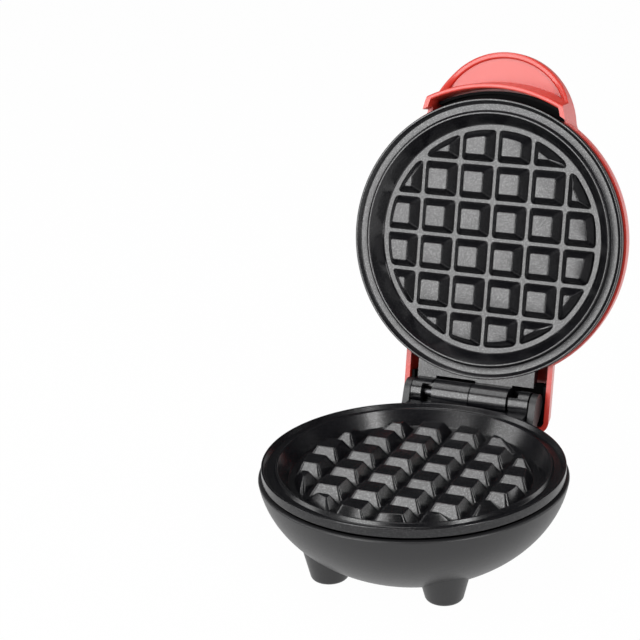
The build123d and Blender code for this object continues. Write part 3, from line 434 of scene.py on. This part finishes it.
def floor_material():
    """A pale floor that shows as the white background and keeps the object's shadow."""
    material, tree, shader, coords = new_material("floor_pale")
    tone = noise(tree, coords, 0.3)
    tree.links.new(blend_colours(tree, tone, (0.62, 0.62, 0.62), (0.65, 0.65, 0.65)), shader.inputs["Base Color"])
    shader.inputs["Roughness"].default_value = 0.9
    shader.inputs["Specular IOR Level"].default_value = 0.1
    white = add_node(tree, "ShaderNodeEmission", {"Color": (1, 1, 1, 1), "Strength": 1.0})
    share_inputs = {0: backdrop_rays(tree), 1: BACKDROP_SHARE}
    share = add_node(tree, "ShaderNodeMath", share_inputs, operation="MULTIPLY").outputs[0]
    mixed = add_node(tree, "ShaderNodeMixShader", {0: share, 1: shader.outputs[0], 2: white.outputs[0]})
    tree.links.new(mixed.outputs[0], tree.nodes["Material Output"].inputs["Surface"])
    return material


floor_mesh = bpy.data.meshes.new("floor")
floor_form = bmesh.new()
bmesh.ops.create_circle(floor_form, cap_ends=True, segments=FLOOR_SIDES, radius=FLOOR_RADIUS)
floor_form.to_mesh(floor_mesh)
floor_form.free()
floor = bpy.data.objects.new("floor", floor_mesh)
bpy.context.scene.collection.objects.link(floor)
floor.data.materials.append(floor_material())


def studio_world():
    """White behind the object, a dim room for diffuse light, and in a gloss a bright rim above the horizon."""
    world = bpy.data.worlds.new("studio")
    bpy.context.scene.world = world
    world.use_nodes = True
    tree = world.node_tree
    path = add_node(tree, "ShaderNodeLightPath")
    direction = add_node(tree, "ShaderNodeTexCoord").outputs["Generated"]
    height = add_node(tree, "ShaderNodeSeparateXYZ", {"Vector": direction}).outputs["Z"]
    reflected = spread(tree, height, 0.0, 0.16, 0.85, 0.04)
    lighting = add_node(
        tree, "ShaderNodeMath", {0: path.outputs["Is Diffuse Ray"], 1: ROOM_LIGHT}, operation="MULTIPLY"
    ).outputs[0]
    gloss = add_node(
        tree, "ShaderNodeMath", {0: path.outputs["Is Glossy Ray"], 1: reflected}, operation="MULTIPLY"
    ).outputs[0]
    straight = add_node(
        tree, "ShaderNodeMath",
        {0: path.outputs["Is Camera Ray"], 1: path.outputs["Is Transmission Ray"]}, operation="MAXIMUM",
    ).outputs[0]
    both = add_node(tree, "ShaderNodeMath", {0: lighting, 1: gloss}, operation="ADD").outputs[0]
    strength = add_node(tree, "ShaderNodeMath", {0: both, 1: straight}, operation="ADD").outputs[0]
    background = tree.nodes["Background"]
    background.inputs["Color"].default_value = (1, 1, 1, 1)
    tree.links.new(strength, background.inputs["Strength"])


studio_world()


def softbox(name, place, target, width, height, radiance):
    """A rectangular lamp of one brightness, turned to face the target."""
    lamp = bpy.data.lights.new(name, "AREA")
    lamp.shape = "RECTANGLE"
    lamp.size = width
    lamp.size_y = height
    lamp.energy = pi * width * height * radiance
    holder = bpy.data.objects.new(name, lamp)
    bpy.context.scene.collection.objects.link(holder)
    holder.location = place
    holder.rotation_euler = (Vector(target) - Vector(place)).to_track_quat("-Z", "Y").to_euler()
    return holder


middle = Vector((0, -0.01, 0.09))
softbox("key", middle + Vector((-0.45, -1.08, 0.43)), middle, 0.52, 1.0, 7.0)
softbox("side", middle + Vector((1.04, -0.52, 0.54)), middle, 0.26, 1.2, 10.0)
softbox("rim", middle + Vector((0.80, 0.80, 0.45)), middle, 0.4, 0.7, 2.6)
softbox("left", middle + Vector((-1.03, -0.28, 0.54)), middle, 0.5, 0.5, 4.0)
softbox("top", middle + Vector((-0.32, -0.05, 1.15)), middle, 1.1, 0.6, 3.2)


def photo_camera():
    """The camera of the photograph, its picture's middle left of its own axis."""
    back = Vector((
        sin(VIEW_AZIMUTH) * cos(VIEW_ELEVATION),
        -cos(VIEW_AZIMUTH) * cos(VIEW_ELEVATION),
        sin(VIEW_ELEVATION),
    ))
    level_right = Vector((cos(VIEW_AZIMUTH), sin(VIEW_AZIMUTH), 0))
    level_up = back.cross(level_right)
    right = cos(VIEW_ROLL) * level_right + sin(VIEW_ROLL) * level_up
    up = cos(VIEW_ROLL) * level_up - sin(VIEW_ROLL) * level_right
    data = bpy.data.cameras.new("photo_camera")
    data.sensor_fit = "HORIZONTAL"
    data.sensor_width = SENSOR_WIDTH
    data.lens = FOCAL_PIXELS / PHOTO_SIZE * SENSOR_WIDTH
    data.shift_x = (PHOTO_SIZE / 2 - AXIS_PIXEL_X) / PHOTO_SIZE
    data.clip_start = 0.01
    data.clip_end = 20
    camera = bpy.data.objects.new("photo_camera", data)
    bpy.context.scene.collection.objects.link(camera)
    place = PLATE_CENTRE + VIEW_RIGHT * right + VIEW_UP * up + VIEW_DISTANCE * back
    camera.matrix_world = Matrix((
        (right.x, up.x, back.x, place.x),
        (right.y, up.y, back.y, place.y),
        (right.z, up.z, back.z, place.z),
        (0, 0, 0, 1),
    ))
    bpy.context.scene.camera = camera


photo_camera()
bpy.context.scene.view_settings.view_transform = "Standard"
